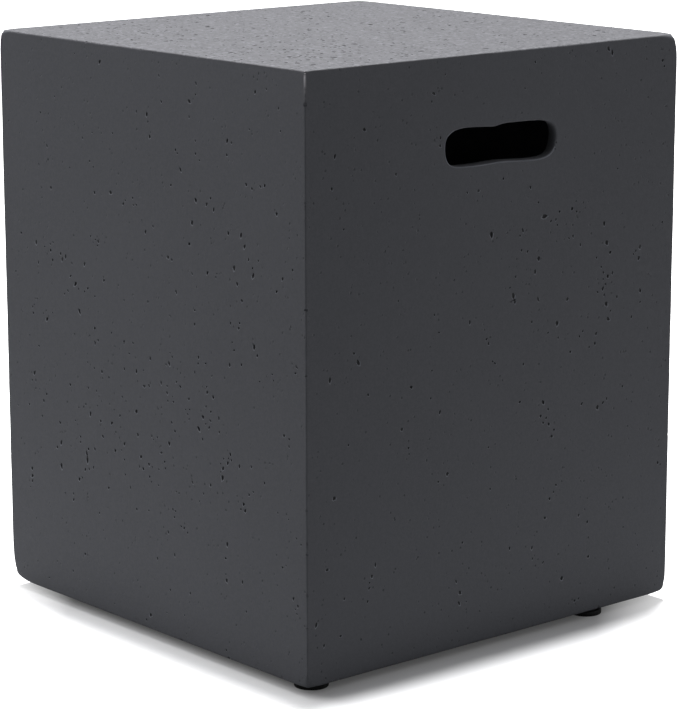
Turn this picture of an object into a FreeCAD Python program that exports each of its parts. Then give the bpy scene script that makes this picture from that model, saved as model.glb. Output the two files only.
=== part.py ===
"""Square cast side table that hides a gas cylinder, on four levelling feet.

Millimetres, +Z up. The origin is on the ground below the middle of the table. -Y is the plain
front, +X and -X are the walls with a hand slot, and +Y is the back with the hose notch.
"""
import FreeCAD
import Part
import Sketcher
import math
import os

SIZES = {
    # the casting
    "cover_width": 419.0,
    "cover_depth": 419.0,
    "cover_height": 500.0,
    "wall_thickness": 15.0,
    "top_thickness": 15.0,
    "edge_radius": 2.5,
    "hollow_corner_radius": 26.0,
    "ceiling_cove": 9.0,
    # the thick rim round the open bottom
    "rim_width": 42.0,
    "rim_height": 32.0,
    "rim_slope_height": 40.0,
    "rim_corner_radius": 18.0,
    "rim_edge_chamfer": 3.0,
    # the hand slots
    "slot_length": 127.0,
    "slot_height": 33.0,
    "slot_corner_radius": 13.0,
    "slot_centre_below_top": 76.0,
    "slot_lip_radius": 1.5,
    # the arched notch for the gas hose
    "notch_width": 50.0,
    "notch_height": 46.0,
    "notch_lip_chamfer": 1.8,
    # where the feet stand
    "corner_foot_inset": 25.5,
    "side_foot_inset": 20.0,
    "side_foot_from_corner": 82.0,
    # the long hexagon nut cast into the rim for each foot
    "nut_across_flats": 13.0,
    "nut_cap": 2.5,
    # the levelling stud
    "thread_radius": 4.0,
    "thread_length": 24.0,
    "thread_clearance": 0.05,
    "thread_tip_gap": 3.5,
    "collar_across_flats": 13.0,
    "collar_height": 2.8,
    "head_radius": 5.5,
    "head_thickness": 1.8,
    "head_play": 0.2,
    "head_clearance": 0.08,
    # the moulded pad
    "pad_radius": 14.4,
    "pad_height": 5.0,
    "pad_floor": 1.6,
    "pad_collar_gap": 0.2,
}

# sizes that follow from the ones above
COLLAR_BOTTOM = "(Sizes.pad_height + Sizes.pad_collar_gap)"
FOOT_HEIGHT = "(Sizes.pad_height + Sizes.pad_collar_gap + Sizes.collar_height)"
CORNER_FOOT_X = "(Sizes.cover_width / 2 - Sizes.corner_foot_inset)"
CORNER_FOOT_Y = "(Sizes.cover_depth / 2 - Sizes.corner_foot_inset)"
SIDE_FOOT_X = "(Sizes.cover_width / 2 - Sizes.side_foot_inset)"
SIDE_FOOT_Y = "(Sizes.cover_depth / 2 - Sizes.side_foot_from_corner)"
CEILING = "(Sizes.cover_height - Sizes.top_thickness)"
SLOPE_TOP = "(Sizes.rim_height + Sizes.rim_slope_height)"
HOLLOW_WIDTH = "(Sizes.cover_width - 2 * Sizes.wall_thickness)"
HOLLOW_DEPTH = "(Sizes.cover_depth - 2 * Sizes.wall_thickness)"
OPENING_WIDTH = "(Sizes.cover_width - 2 * Sizes.rim_width)"
OPENING_DEPTH = "(Sizes.cover_depth - 2 * Sizes.rim_width)"
SLOT_CENTRE = "(Sizes.cover_height - Sizes.slot_centre_below_top)"
THREAD_BORE = "(Sizes.thread_radius + Sizes.thread_clearance)"
NUT_LENGTH = "(Sizes.thread_length + Sizes.thread_tip_gap + Sizes.nut_cap)"

# each foot and its place; the left pair is the right pair turned half a turn about the middle
FEET = {
    "front_right": (CORNER_FOOT_X, "-" + CORNER_FOOT_Y),
    "back_right": (SIDE_FOOT_X, SIDE_FOOT_Y),
    "back_left": ("-" + CORNER_FOOT_X, CORNER_FOOT_Y),
    "front_left": ("-" + SIDE_FOOT_X, "-" + SIDE_FOOT_Y),
}

# how far a cutting outline runs past the face that it opens
OVERRUN = 6.0
# two coordinates closer than this are the same
NEAR = 0.01

doc = FreeCAD.newDocument("cylinder_table")
sheet = doc.addObject("Spreadsheet::Sheet", "Sizes")


def fill_sheet():
    """One named cell for each driving dimension."""
    for row, (name, size) in enumerate(SIZES.items(), start=1):
        sheet.set("A%d" % row, name)
        sheet.set("B%d" % row, str(size))
        sheet.setAlias("B%d" % row, name)
    doc.recompute()


def value(formula):
    """The number that a formula of named sizes gives now."""
    return float(sheet.evalExpression(formula))


def new_body(name, x="0", y="0", z="0"):
    """A body whose place in the table is bound to the sizes."""
    body = doc.addObject("PartDesign::Body", name)
    body.Label = name
    for axis, formula in zip("xyz", (x, y, z)):
        body.setExpression("Placement.Base." + axis, formula)
    return body


def origin_part(body, role):
    return next(part for part in body.Origin.OriginFeatures if part.Role == role)


def new_sketch(body, name, plane, lift="0", along="0"):
    """A sketch on an origin plane, moved off it by lift and up it by along."""
    sketch = body.newObject("Sketcher::SketchObject", name)
    sketch.AttachmentSupport = [(origin_part(body, plane), "")]
    sketch.MapMode = "FlatFace"
    sketch.setExpression("AttachmentOffset.Base.z", lift)
    sketch.setExpression("AttachmentOffset.Base.y", along)
    return sketch


def dimension(sketch, name, formula, *what):
    """Adds a dimension to a sketch and binds it to a formula."""
    index = sketch.addConstraint(Sketcher.Constraint(*what, value(formula)))
    sketch.renameConstraint(index, name)
    sketch.setExpression("Constraints." + name, formula)


def rounded_rectangle(sketch, width, height, radius):
    """A rectangle with round corners about the sketch's origin."""
    half_w = value(width) / 2
    half_h = value(height) / 2
    r = value(radius)
    corners = [(-half_w, -half_h), (half_w, -half_h), (half_w, half_h), (-half_w, half_h)]
    steps = [(1, 0), (0, 1), (-1, 0), (0, -1)]
    for side in range(4):
        start = FreeCAD.Vector(*corners[side])
        end = FreeCAD.Vector(*corners[(side + 1) % 4])
        along = FreeCAD.Vector(*steps[side]) * r
        inward = FreeCAD.Vector(*steps[(side + 1) % 4]) * r
        sketch.addGeometry(Part.LineSegment(start + along, end - along), False)
        circle = Part.Circle(end - along + inward, FreeCAD.Vector(0, 0, 1), r)
        turn = math.atan2(-inward.y, -inward.x)
        sketch.addGeometry(Part.ArcOfCircle(circle, turn, turn + math.pi / 2), False)
    for line in range(0, 8, 2):
        arc = line + 1
        sketch.addConstraint(Sketcher.Constraint("Tangent", line, 2, arc, 1))
        sketch.addConstraint(Sketcher.Constraint("Tangent", arc, 2, (line + 2) % 8, 1))
        level = "Horizontal" if line in (0, 4) else "Vertical"
        sketch.addConstraint(Sketcher.Constraint(level, line))
    for arc in (3, 5, 7):
        sketch.addConstraint(Sketcher.Constraint("Equal", 1, arc))
    sketch.addConstraint(Sketcher.Constraint("Symmetric", 0, 1, 4, 1, -1, 1))
    dimension(sketch, "corner", radius, "Radius", 1)
    dimension(sketch, "width", width, "DistanceX", 6, 1, 2, 1)
    dimension(sketch, "height", height, "DistanceY", 0, 1, 4, 1)


def outline(sketch, points):
    """A closed run of straight lines, each point given by two formulas."""
    spots = [FreeCAD.Vector(value(x), value(y)) for x, y in points]
    count = len(points)
    for i in range(count):
        sketch.addGeometry(Part.LineSegment(spots[i], spots[(i + 1) % count]), False)
    for i in range(count):
        sketch.addConstraint(Sketcher.Constraint("Coincident", i, 2, (i + 1) % count, 1))
    for i, (x, y) in enumerate(points):
        if x == "0":
            sketch.addConstraint(Sketcher.Constraint("PointOnObject", i, 1, -2))
        else:
            dimension(sketch, "x%d" % i, x, "DistanceX", -1, 1, i, 1)
        if y == "0":
            sketch.addConstraint(Sketcher.Constraint("PointOnObject", i, 1, -1))
        else:
            dimension(sketch, "y%d" % i, y, "DistanceY", -1, 1, i, 1)


def arch(sketch, width, height):
    """A round-headed doorway that stands on the sketch's level axis and runs a little below."""
    r = value(width) / 2
    spring = value(height) - r
    foot_left = FreeCAD.Vector(-r, -OVERRUN)
    foot_right = FreeCAD.Vector(r, -OVERRUN)
    sketch.addGeometry(Part.LineSegment(foot_left, foot_right), False)
    sketch.addGeometry(Part.LineSegment(foot_right, FreeCAD.Vector(r, spring)), False)
    head = Part.Circle(FreeCAD.Vector(0, spring), FreeCAD.Vector(0, 0, 1), r)
    sketch.addGeometry(Part.ArcOfCircle(head, 0, math.pi), False)
    sketch.addGeometry(Part.LineSegment(FreeCAD.Vector(-r, spring), foot_left), False)
    sketch.addConstraint(Sketcher.Constraint("Coincident", 0, 2, 1, 1))
    sketch.addConstraint(Sketcher.Constraint("Coincident", 3, 2, 0, 1))
    sketch.addConstraint(Sketcher.Constraint("Tangent", 1, 2, 2, 1))
    sketch.addConstraint(Sketcher.Constraint("Tangent", 2, 2, 3, 1))
    sketch.addConstraint(Sketcher.Constraint("Horizontal", 0))
    sketch.addConstraint(Sketcher.Constraint("Vertical", 1))
    sketch.addConstraint(Sketcher.Constraint("Vertical", 3))
    sketch.addConstraint(Sketcher.Constraint("PointOnObject", 2, 3, -2))
    sketch.addConstraint(Sketcher.Constraint("DistanceY", 0, 1, -1, 1, OVERRUN))
    dimension(sketch, "width", width, "DistanceX", 0, 1, 0, 2)
    dimension(sketch, "spring", "(%s - %s / 2)" % (height, width), "DistanceY", -1, 1, 2, 3)


def hexagon(body, kind, name, across_flats, height, x="0", y="0", lift="0"):
    """A hexagonal prism, added or cut, that stands on a level plane of the body."""
    prism = body.newObject(kind, name)
    prism.Polygon = 6
    prism.AttachmentSupport = [(origin_part(body, "XY_Plane"), "")]
    prism.MapMode = "FlatFace"
    prism.setExpression("Circumradius", across_flats + " / sqrt(3)")
    prism.setExpression("Height", height)
    prism.setExpression("AttachmentOffset.Base.x", x)
    prism.setExpression("AttachmentOffset.Base.y", y)
    prism.setExpression("AttachmentOffset.Base.z", lift)
    return prism


def pad(body, name, sketch, length):
    feature = body.newObject("PartDesign::Pad", name)
    feature.Profile = sketch
    feature.setExpression("Length", length)
    return feature


def pocket(body, name, sketch, length=None, upward=False, both_ways=False):
    """Cuts a sketch to a depth, or right through where no depth is given."""
    feature = body.newObject("PartDesign::Pocket", name)
    feature.Profile = sketch
    feature.Reversed = upward
    if length is None:
        feature.Type = "ThroughAll"
        feature.Midplane = both_ways
    else:
        feature.setExpression("Length", length)
    return feature


def revolve(body, name, sketch):
    feature = body.newObject("PartDesign::Revolution", name)
    feature.Profile = sketch
    feature.ReferenceAxis = (sketch, ["V_Axis"])
    feature.Angle = 360
    return feature


def work_edges(body, kind, name, size, wanted):
    """Fillets or chamfers the edges of the body's last feature that the test picks out."""
    doc.recompute()
    base = body.Tip
    names = ["Edge%d" % (i + 1) for i, edge in enumerate(base.Shape.Edges) if wanted(edge)]
    feature = body.newObject("PartDesign::" + kind, name)
    feature.Base = (base, names)
    feature.setExpression("Radius" if kind == "Fillet" else "Size", size)
    return feature


def spans(edge, axis):
    """The lowest and highest coordinate of an edge along an axis."""
    box = edge.BoundBox
    return {
        "x": (box.XMin, box.XMax),
        "y": (box.YMin, box.YMax),
        "z": (box.ZMin, box.ZMax),
    }[axis]


def lies_at(edge, axis, place):
    """Whether an edge lies in the plane where a coordinate has this value."""
    low, high = spans(edge, axis)
    return abs(low - place) < NEAR and abs(high - place) < NEAR


def inside(edge, axis, low, high):
    """Whether an edge keeps between two values of a coordinate."""
    least, most = spans(edge, axis)
    return low - NEAR < least and most < high + NEAR


def cast_block(body):
    """The outer block with its rubbed edges."""
    block = body.newObject("PartDesign::AdditiveBox", "block")
    block.AttachmentSupport = [(origin_part(body, "XY_Plane"), "")]
    block.MapMode = "FlatFace"
    block.setExpression("Length", "Sizes.cover_width")
    block.setExpression("Width", "Sizes.cover_depth")
    block.setExpression("Height", "Sizes.cover_height")
    block.setExpression("AttachmentOffset.Base.x", "-Sizes.cover_width / 2")
    block.setExpression("AttachmentOffset.Base.y", "-Sizes.cover_depth / 2")
    work_edges(body, "Fillet", "block_edges", "Sizes.edge_radius", lambda edge: True)


def cast_hollow(body):
    """The space for the cylinder: a wide hollow, a sloping shoulder and the rim's opening."""
    opening = new_sketch(body, "opening_outline", "XY_Plane", lift="Sizes.rim_height")
    rounded_rectangle(opening, OPENING_WIDTH, OPENING_DEPTH, "Sizes.rim_corner_radius")
    hollow = new_sketch(body, "hollow_outline", "XY_Plane", lift=SLOPE_TOP)
    rounded_rectangle(hollow, HOLLOW_WIDTH, HOLLOW_DEPTH, "Sizes.hollow_corner_radius")
    pocket(body, "opening", opening)
    pocket(body, "hollow", hollow, CEILING + " - " + SLOPE_TOP, upward=True)
    shoulder = body.newObject("PartDesign::SubtractiveLoft", "shoulder")
    shoulder.Profile = opening
    shoulder.Sections = [hollow]
    ceiling = value(CEILING)
    half_x = value(OPENING_WIDTH) / 2
    half_y = value(OPENING_DEPTH) / 2

    def round_the_opening(edge):
        in_rim = inside(edge, "x", -half_x, half_x) and inside(edge, "y", -half_y, half_y)
        return in_rim and lies_at(edge, "z", 0)

    work_edges(
        body, "Chamfer", "ceiling_cove", "Sizes.ceiling_cove", lambda e: lies_at(e, "z", ceiling)
    )
    work_edges(body, "Chamfer", "rim_edge", "Sizes.rim_edge_chamfer", round_the_opening)


def hand_slots(body):
    """One cut through both side walls, with rubbed lips on the outside."""
    sketch = new_sketch(body, "slot_outline", "YZ_Plane", along=SLOT_CENTRE)
    rounded_rectangle(
        sketch, "Sizes.slot_length", "Sizes.slot_height", "Sizes.slot_corner_radius"
    )
    pocket(body, "hand_slots", sketch, both_ways=True)
    face = value("Sizes.cover_width") / 2
    half_length = value("Sizes.slot_length") / 2
    low = value(SLOT_CENTRE + " - Sizes.slot_height / 2")
    high = value(SLOT_CENTRE + " + Sizes.slot_height / 2")

    def is_lip(edge):
        in_slot = inside(edge, "y", -half_length, half_length) and inside(edge, "z", low, high)
        return in_slot and (lies_at(edge, "x", face) or lies_at(edge, "x", -face))

    work_edges(body, "Fillet", "slot_lips", "Sizes.slot_lip_radius", is_lip)


def hose_notch(body):
    """The arch through the foot of the back wall."""
    sketch = new_sketch(body, "notch_outline", "XZ_Plane")
    arch(sketch, "Sizes.notch_width", "Sizes.notch_height")
    pocket(body, "hose_notch", sketch)
    back = value("Sizes.cover_depth") / 2
    half_width = value("Sizes.notch_width") / 2

    def is_lip(edge):
        return lies_at(edge, "y", back) and inside(edge, "x", -half_width, half_width)

    work_edges(body, "Chamfer", "notch_lip", "Sizes.notch_lip_chamfer", is_lip)


def nut_sockets(body):
    """The space that each cast-in nut fills, open at the rim's underside."""
    for foot, (x, y) in FEET.items():
        hexagon(
            body,
            "PartDesign::SubtractivePrism",
            foot + "_socket",
            "Sizes.nut_across_flats",
            NUT_LENGTH,
            x,
            y,
        )


def make_shell():
    """The casting, in its own frame with the rim's underside at zero."""
    body = new_body("shell", z=FOOT_HEIGHT)
    cast_block(body)
    cast_hollow(body)
    hand_slots(body)
    hose_notch(body)
    nut_sockets(body)


def make_nut(foot, x, y):
    """A long blind hexagon nut, cast into the rim with its open end flush."""
    body = new_body(foot + "_nut", x, y, FOOT_HEIGHT)
    hexagon(
        body,
        "PartDesign::AdditivePrism",
        foot + "_nut_bar",
        "Sizes.nut_across_flats",
        NUT_LENGTH,
    )
    bore = body.newObject("PartDesign::SubtractiveCylinder", foot + "_nut_bore")
    bore.AttachmentSupport = [(origin_part(body, "XY_Plane"), "")]
    bore.MapMode = "FlatFace"
    bore.setExpression("Radius", THREAD_BORE)
    bore.setExpression("Height", "Sizes.thread_length + Sizes.thread_tip_gap")


def make_stud(foot, x, y):
    """The levelling screw: flat head, neck, hexagon collar and thread."""
    body = new_body(foot + "_stud", x, y)
    half = new_sketch(body, foot + "_stud_half", "XZ_Plane")
    head_top = "(Sizes.pad_floor + Sizes.head_thickness)"
    tip = "(%s + Sizes.thread_length)" % FOOT_HEIGHT
    outline(
        half,
        [
            ("0", "Sizes.pad_floor"),
            ("Sizes.head_radius", "Sizes.pad_floor"),
            ("Sizes.head_radius", head_top),
            ("Sizes.thread_radius", head_top),
            ("Sizes.thread_radius", tip),
            ("0", tip),
        ],
    )
    revolve(body, foot + "_stud_turned", half)
    hexagon(
        body,
        "PartDesign::AdditivePrism",
        foot + "_collar",
        "Sizes.collar_across_flats",
        "Sizes.collar_height",
        lift=COLLAR_BOTTOM,
    )


def make_pad(foot, x, y):
    """The moulded disc that stands on the ground and holds the stud's head."""
    body = new_body(foot + "_pad", x, y)
    half = new_sketch(body, foot + "_pad_half", "XZ_Plane")
    neck = THREAD_BORE
    socket = "(Sizes.head_radius + Sizes.head_clearance)"
    socket_top = "(Sizes.pad_floor + Sizes.head_thickness + Sizes.head_play)"
    outline(
        half,
        [
            ("0", "0"),
            ("Sizes.pad_radius", "0"),
            ("Sizes.pad_radius", "Sizes.pad_height"),
            (neck, "Sizes.pad_height"),
            (neck, socket_top),
            (socket, socket_top),
            (socket, "Sizes.pad_floor"),
            ("0", "Sizes.pad_floor"),
        ],
    )
    revolve(body, foot + "_pad_turned", half)


def check_all():
    """Stops if any object of the document failed or any piece isn't a valid solid."""
    for item in doc.Objects:
        bad = [state for state in item.State if state in ("Invalid", "Error")]
        if bad:
            raise RuntimeError("%s is %s" % (item.Name, bad))
    for body in doc.findObjects("PartDesign::Body"):
        if body.Shape.isNull() or not body.Shape.isValid() or not body.Shape.Solids:
            raise RuntimeError("%s is not a valid solid" % body.Label)


def write_parts():
    os.makedirs("parts", exist_ok=True)
    for body in doc.findObjects("PartDesign::Body"):
        body.Shape.exportStep("parts/%s.step" % body.Label)
        print("%-20s %12.1f mm3" % (body.Label, body.Shape.Volume))


fill_sheet()
make_shell()
for foot_name, (foot_x, foot_y) in FEET.items():
    make_nut(foot_name, foot_x, foot_y)
    make_stud(foot_name, foot_x, foot_y)
    make_pad(foot_name, foot_x, foot_y)
doc.recompute()
check_all()
write_parts()
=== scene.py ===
"""Dresses the cast cylinder cover and its levelling feet, and sets up the studio round them.

Metres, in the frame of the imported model: +Z up, -Y the plain front, +X and -X the walls with a
hand slot, +Y the back with the hose notch.
"""
import math
import random

import bmesh
import bpy
from mathutils import Matrix, Vector, noise


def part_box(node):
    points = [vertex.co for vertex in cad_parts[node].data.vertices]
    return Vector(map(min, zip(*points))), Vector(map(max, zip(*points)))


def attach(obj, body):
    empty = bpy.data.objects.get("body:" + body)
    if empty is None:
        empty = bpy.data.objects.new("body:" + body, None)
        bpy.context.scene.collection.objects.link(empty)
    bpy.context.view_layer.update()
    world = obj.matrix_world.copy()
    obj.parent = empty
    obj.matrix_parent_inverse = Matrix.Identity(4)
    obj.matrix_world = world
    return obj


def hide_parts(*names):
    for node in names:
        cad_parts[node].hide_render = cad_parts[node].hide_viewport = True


MM = 0.001
TURN = 2 * math.pi

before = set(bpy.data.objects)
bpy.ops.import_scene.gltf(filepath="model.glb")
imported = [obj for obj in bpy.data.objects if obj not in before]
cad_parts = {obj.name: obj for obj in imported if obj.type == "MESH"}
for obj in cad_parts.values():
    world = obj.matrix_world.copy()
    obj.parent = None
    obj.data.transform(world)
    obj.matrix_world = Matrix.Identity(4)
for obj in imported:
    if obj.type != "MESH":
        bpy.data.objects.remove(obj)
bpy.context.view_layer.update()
rng = random.Random(4)

SHELL_LOW, SHELL_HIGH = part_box("shell")
HALF = SHELL_HIGH.x
BASE = SHELL_LOW.z
TOP = SHELL_HIGH.z
MIDDLE = Vector((0, 0, (BASE + TOP) / 2))
HALVES = Vector((HALF, HALF, (TOP - BASE) / 2))
# how far the walls and the top lie from the middle, in mm
WALL_REACH = round(HALF / MM, 1)
TOP_REACH = round(HALVES.z / MM, 1)
FEET = ("front_right", "back_right", "back_left", "front_left")

# materials of the casting, in the order of its slots
SKIN, PIT_RIM_HIGHLIGHT, PIT, INSIDE, LIP_HIGHLIGHT, THROAT = range(6)


# Meshes


def wave(point, length, seed=0.0):
    """Smooth noise between about -1 and 1 that changes over this length."""
    return noise.noise(point / length + Vector((seed, seed * 1.7, -seed)))


def share_between(value, low, high):
    """0 up to low, 1 from high, and in proportion between them."""
    return max(0.0, min(1.0, (value - low) / (high - low)))


def new_object(name, verts, faces, slots=None):
    mesh = bpy.data.meshes.new(name)
    mesh.from_pydata([tuple(v) for v in verts], [], faces)
    mesh.update()
    if slots is not None:
        mesh.polygons.foreach_set("material_index", slots)
    obj = bpy.data.objects.new(name, mesh)
    bpy.context.scene.collection.objects.link(obj)
    return obj


def apply_modifiers(obj):
    """Gives an object the mesh that its modifiers make, and removes them."""
    graph = bpy.context.evaluated_depsgraph_get()
    made = bpy.data.meshes.new_from_object(obj.evaluated_get(graph))
    obj.modifiers.clear()
    obj.data = made


def combine(obj, tool, operation):
    """Cuts a tool out of an object, or joins it on, and removes the tool."""
    step = obj.modifiers.new("step", "BOOLEAN")
    step.operation = operation
    step.solver = "MANIFOLD"
    step.object = tool
    apply_modifiers(obj)
    bpy.data.objects.remove(tool)


def smooth(obj, angle):
    """Smooth shading up to this angle, in which the large faces keep their own direction."""
    obj.data.polygons.foreach_set("use_smooth", [True] * len(obj.data.polygons))
    obj.data.set_sharp_from_angle(angle=math.radians(angle))
    even = obj.modifiers.new("even", "WEIGHTED_NORMAL")
    even.keep_sharp = True
    apply_modifiers(obj)


def fix_outward(obj):
    """Turns a closed mesh's faces to look outwards."""
    work = bmesh.new()
    work.from_mesh(obj.data)
    bmesh.ops.recalc_face_normals(work, faces=work.faces)
    work.to_mesh(obj.data)
    work.free()
    return obj


def stack(rings, cap_low, cap_high):
    """Vertices and faces of a closed skin over rings of equal count, with a point at each end."""
    count = len(rings[0])
    verts = [p for ring in rings for p in ring] + [cap_low, cap_high]
    faces = []
    for row in range(len(rings) - 1):
        for i in range(count):
            j = (i + 1) % count
            a, b = row * count, (row + 1) * count
            faces.append((a + i, a + j, b + j, b + i))
    low, high = len(verts) - 2, len(verts) - 1
    last = (len(rings) - 1) * count
    for i in range(count):
        j = (i + 1) % count
        faces.append((low, j, i))
        faces.append((high, last + i, last + j))
    return verts, faces


def middle_of(ring):
    return sum(ring, Vector()) / len(ring)


def circle(radius, z, count, wobble=None):
    ring = []
    for i in range(count):
        angle = TURN * i / count
        r = radius * (wobble(angle) if wobble else 1)
        ring.append(Vector((r * math.cos(angle), r * math.sin(angle), z)))
    return ring


# The casting's outer skin

# how far the edges are rubbed round, and how much that varies: by how much, over what length, seed
EDGE_RADIUS = 1.5 * MM
EDGE_WAVES = ((0.5 * MM, 34 * MM, 3.1), (0.25 * MM, 9 * MM, 8.3))
# the edges of the quarter towards the front corner are sharper, by this factor and from this
# height over the bottom
FRONT_SHARPER = 0.75
FRONT_SHARPER_FROM = 8 * MM
# the bottom edges are rubbed more, up to this height
BOTTOM_EXTRA = 0.9 * MM
BOTTOM_BAND = 12 * MM
# where handling has rounded a corner: its signs, the extra radius and how far that reaches
WORN_CORNERS = [
    ((1, 1, 1), 6 * MM, 10 * MM),
    ((-1, -1, -1), 7 * MM, 15 * MM),
    ((1, -1, -1), 2.2 * MM, 9 * MM),
    ((1, 1, -1), 3 * MM, 9 * MM),
    ((-1, -1, 1), 4.5 * MM, 9 * MM),
    ((1, -1, 1), 0.8 * MM, 5 * MM),
    ((-1, 1, 1), 3 * MM, 9 * MM),
    ((-1, 1, -1), 3 * MM, 9 * MM),
]
# how deep the faces lie under the CAD block, and how that varies: by how much, length, seed
SINK = 0.20 * MM
SINK_WAVES = ((0.16 * MM, 130 * MM, 1.0), (0.015 * MM, 21 * MM, 5.0))
# the block's rows of vertices: their distances in mm from an edge, and the pitch between them
EDGE_ROWS = (0, 0.35, 0.8, 1.3, 1.9, 2.6, 3.5, 4.8, 6.6, 9, 12, 16, 21)
ROW_PITCH = 10 * MM


def edge_radius(point):
    """How far the edges are rubbed round at a point of the skin."""
    radius = EDGE_RADIUS
    for height, length, seed in EDGE_WAVES:
        radius += height * wave(point, length, seed)
    if point.x > 0 > point.y and point.z > BASE + FRONT_SHARPER_FROM:
        radius *= FRONT_SHARPER
    if point.z < BASE + BOTTOM_BAND:
        radius += BOTTOM_EXTRA
    for signs, extra, reach in WORN_CORNERS:
        corner = MIDDLE + Vector([s * h for s, h in zip(signs, HALVES)])
        far = (point - corner).length / reach
        if far < 3:
            radius += extra * math.exp(-far * far)
    return radius


def skin(point):
    """Moves a point of the sharp block onto the real skin, and gives the outward direction."""
    radius = edge_radius(point)
    local = point - MIDDLE
    core = Vector([max(-h + radius, min(h - radius, c)) for c, h in zip(local, HALVES)])
    out = (local - core).normalized()
    sink = SINK
    for height, length, seed in SINK_WAVES:
        sink += height * wave(point, length, seed)
    return MIDDLE + core + out * (radius - max(0.0, sink)), out


def stations(half):
    """Places across a face, close together near its two edges."""
    near = [half - n * MM for n in EDGE_ROWS]
    count = math.ceil(2 * near[-1] / ROW_PITCH)
    between = [near[-1] * (1 - 2 * i / count) for i in range(1, count)]
    return [-n for n in near] + [-b for b in between] + near[::-1]


def make_block():
    """The solid block of the casting, rubbed and slightly uneven."""
    across = stations(HALF)
    up = [MIDDLE.z + s for s in stations(HALVES.z)]
    axes = (across, across, up)
    index = {}
    verts = []
    faces = []

    def corner(key):
        if key not in index:
            index[key] = len(verts)
            spot = Vector([axes[k][key[k]] for k in range(3)])
            verts.append(skin(spot)[0])
        return index[key]

    for normal in range(3):
        u, v = [k for k in range(3) if k != normal]
        for end in (0, len(axes[normal]) - 1):
            for i in range(len(axes[u]) - 1):
                for j in range(len(axes[v]) - 1):
                    quad = []
                    for a, b in ((i, j), (i + 1, j), (i + 1, j + 1), (i, j + 1)):
                        key = [0, 0, 0]
                        key[normal], key[u], key[v] = end, a, b
                        quad.append(corner(tuple(key)))
                    if (end == 0) != (normal == 1):
                        quad.reverse()
                    faces.append(quad)
    return new_object("shell_skin", verts, faces)


# The hollow

# thicknesses of the rim and the wall, and the corner radii inside them, in mm
RIM_WIDTH, WALL = 42, 15
RIM_CORNER, WALL_CORNER = 18, 26
# heights from the floor in mm: top of the rim, top of the slope over it, ceiling; and the cove
RIM_TOP, SLOPE_TOP, CEILING = 40, 80, 493
COVE = 9
# rows of the hand-laid wall: the first, where they stop, and their pitch, in mm
WALL_ROWS = (90, 480, 13)
# how uneven the rim and the hand-laid inside are, in mm
RIM_ROUGH, INSIDE_ROUGH = 0.15, 0.8


def rounded_square(half, radius, z, per_side=36, per_corner=8):
    """Points round a square with round corners, always the same number of them."""
    ring = []
    for side in range(4):
        turn = Matrix.Rotation(TURN * side / 4, 3, "Z")
        straight = half - radius
        for i in range(per_side):
            ring.append(turn @ Vector((half, straight * (2 * i / per_side - 1), z)))
        for i in range(per_corner):
            angle = TURN / 4 * i / per_corner
            x = straight + radius * math.cos(angle)
            y = straight + radius * math.sin(angle)
            ring.append(turn @ Vector((x, y, z)))
    return ring


def hollow_shape():
    """The hollow from the floor up: height in mm, half its width, corner radius in mm."""
    half_rim, half_wall = HALF - RIM_WIDTH * MM, HALF - WALL * MM
    shape = [
        (-8, half_rim + 4 * MM, RIM_CORNER + 2),
        (8, half_rim + 3.2 * MM, RIM_CORNER + 2),
        (8.8, half_rim + 1.6 * MM, RIM_CORNER + 1),
        (10.2, half_rim + 0.5 * MM, RIM_CORNER),
        (12, half_rim, RIM_CORNER),
    ]
    shape += [(z, half_rim, RIM_CORNER) for z in range(17, 38, 5)]
    for i in range(9):
        share = i / 8
        height = RIM_TOP + (SLOPE_TOP - RIM_TOP) * share
        radius = RIM_CORNER + (WALL_CORNER - RIM_CORNER) * share
        shape.append((height, half_rim + (RIM_WIDTH - WALL) * MM * share, radius))
    shape += [(z, half_wall, WALL_CORNER) for z in range(*WALL_ROWS)]
    for i in range(7):
        angle = math.pi / 2 * i / 6
        reach = COVE * (1 - math.cos(angle))
        height = CEILING - COVE + COVE * math.sin(angle)
        shape.append((height, half_wall - reach * MM, WALL_CORNER - reach * 0.7))
    for share in (0.9, 0.8, 0.7, 0.6, 0.5, 0.4, 0.3, 0.2, 0.1):
        shape.append((CEILING, half_wall * share, 19 * share))
    return shape


def make_hollow():
    """The space inside: rim opening, sloping shoulder, walls laid up by hand, coved ceiling."""
    rings = []
    for z, half, radius in hollow_shape():
        ring = []
        for spot in rounded_square(half, radius * MM, z * MM):
            rough = RIM_ROUGH if z < RIM_TOP else INSIDE_ROUGH
            lump = 0.6 * wave(spot, 42 * MM, 2.0) + 0.4 * wave(spot, 15 * MM, 6.0)
            out = Vector((spot.x, spot.y, 0)).normalized()
            if z > CEILING - 1:
                out = Vector((0, 0, -1))
                lump = abs(lump)
            ring.append(spot + out * lump * rough * MM)
        rings.append(ring)
    low = Vector((0, 0, -8 * MM))
    high = Vector((0, 0, CEILING * MM))
    verts, faces = stack(rings, low, high)
    return new_object("hollow", verts, faces, [INSIDE] * len(faces))


# The openings in the walls

# the hand slot's outline in millimetres, seen from outside with the back to the right
SLOT_OUTLINE = [
    (-62, 433), (-61.5, 438.5), (-59.5, 442.5), (-56.5, 445), (-52, 447.3), (-46, 448.5), (-38.5, 449),
    (-28.5, 448.7), (-17.5, 448), (-7.5, 447.3), (-2, 448), (3, 448.8), (11, 449), (22, 448.8), (34, 448.5),
    (45, 448), (53.5, 446.8), (59.5, 444), (63, 440), (64.5, 434), (63.8, 427.5), (61.5, 422), (57.5, 418.3),
    (51.5, 416), (42.5, 415), (31, 415.2), (19, 416), (9, 416.6), (-2.5, 417), (-14, 416.6), (-25, 416.4),
    (-36, 416.5), (-46, 417), (-52.5, 418), (-57, 420), (-60, 423.5), (-61.6, 428),
]
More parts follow.
